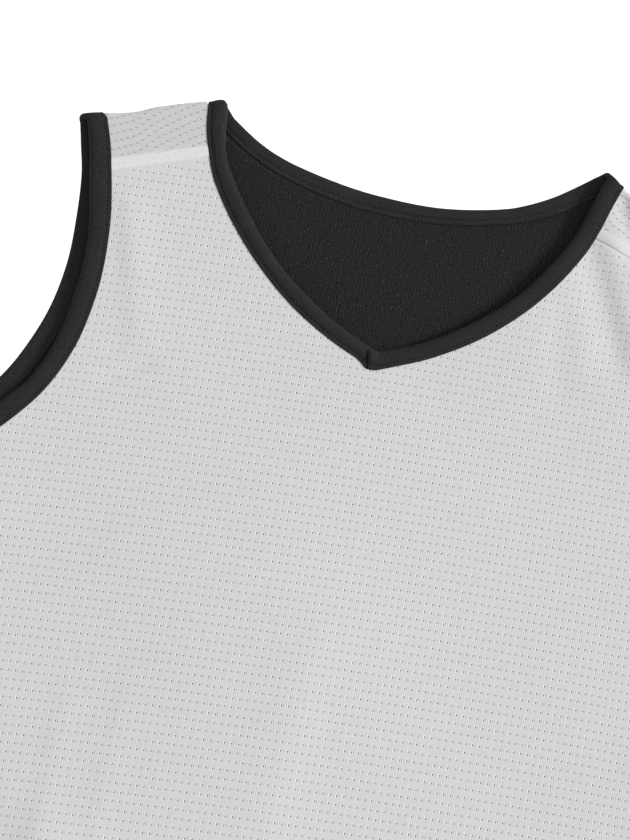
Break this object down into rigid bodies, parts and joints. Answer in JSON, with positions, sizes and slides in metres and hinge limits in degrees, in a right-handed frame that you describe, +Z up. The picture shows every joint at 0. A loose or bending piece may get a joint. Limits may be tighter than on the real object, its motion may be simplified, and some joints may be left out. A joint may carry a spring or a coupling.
{
  "type": "basketball jersey",
  "caption": "Sleeveless V-neck sports vest of two plies of perforated mesh, laid flat with its front up, with rib bindings round the neck and armholes.",
  "frame": {"origin": "middle of the jersey's plan, on the surface that it lies on", "axes": "+X across the jersey, to the right as it is seen from above with the neck away from the viewer; +Y along the centre line from hem to neck; +Z up, out of the front"},
  "size_m": [0.56, 0.782, 0.0091],
  "materials": {
    "outer_mesh": "matt light grey polyester knit with a grid of small eyelets 3.6 mm by 4.5 mm apart",
    "inner_mesh": "matt black polyester knit with the same grid of eyelets",
    "rib": "matt black rib knit, folded over the edge and stitched down"
  },
  "bodies": {
    "root": {"front_panel": "outer_mesh", "back_panel": "outer_mesh", "front_lining": "inner_mesh", "back_lining": "inner_mesh", "neck_binding": "rib", "armhole_binding_left": "rib", "armhole_binding_right": "rib"}
  },
  "joints": []
}
